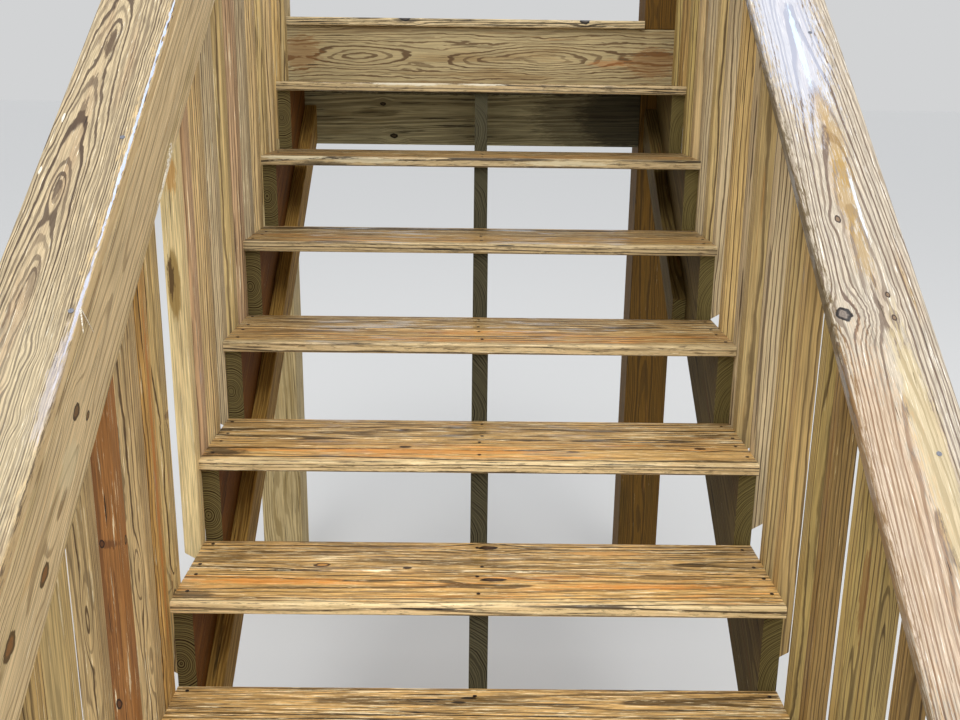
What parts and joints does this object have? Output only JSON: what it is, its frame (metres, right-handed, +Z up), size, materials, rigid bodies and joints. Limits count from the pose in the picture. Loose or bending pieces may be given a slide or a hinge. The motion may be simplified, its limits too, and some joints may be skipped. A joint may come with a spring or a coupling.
{
  "type": "deck stairs",
  "caption": "Straight flight of wooden deck stairs with open risers, notched stringers, square balusters, sloping cap rails and the edge of the deck that it climbs to.",
  "frame": {"origin": "centre of the box that holds the whole part, on the ground", "axes": "+Y up the flight towards the deck, +Z up, +X to the right of a person who climbs it"},
  "size_m": [1.505, 2.98, 3.0763],
  "materials": {
    "stringer_wood": "rough",
    "tread_wood": "rough",
    "deck_wood": "rough",
    "post_wood": "rough",
    "left_baluster_wood": "rough",
    "right_baluster_wood": "rough",
    "rail_wood": "rough"
  },
  "bodies": {
    "root": {"stringer_left": "stringer_wood", "stringer_center": "stringer_wood", "stringer_right": "stringer_wood", "stiffener_left": "stringer_wood", "stiffener_right": "stringer_wood", "tread_1_front": "tread_wood", "tread_1_back": "tread_wood", "tread_2_front": "tread_wood", "tread_2_back": "tread_wood", "tread_3_front": "tread_wood", "tread_3_back": "tread_wood", "tread_4_front": "tread_wood", "tread_4_back": "tread_wood", "tread_5_front": "tread_wood", "tread_5_back": "tread_wood", "tread_6_front": "tread_wood", "tread_6_back": "tread_wood", "tread_7_front": "tread_wood", "tread_7_back": "tread_wood", "tread_8_front": "tread_wood", "tread_8_back": "tread_wood", "tread_9_front": "tread_wood", "tread_9_back": "tread_wood", "header_board": "deck_wood", "rim_board": "deck_wood", "joist_left": "deck_wood", "joist_center": "deck_wood", "joist_right": "deck_wood", "back_joist": "deck_wood", "deck_board_front": "deck_wood", "deck_board_middle": "deck_wood", "deck_board_back": "deck_wood", "post_left": "post_wood", "post_right": "post_wood", "newel_left": "post_wood", "newel_right": "post_wood", "balusters_left": "left_baluster_wood", "balusters_right": "right_baluster_wood", "sub_rail_left": "rail_wood", "sub_rail_right": "rail_wood", "cap_rail_left": "rail_wood", "cap_rail_right": "rail_wood"}
  },
  "joints": []
}
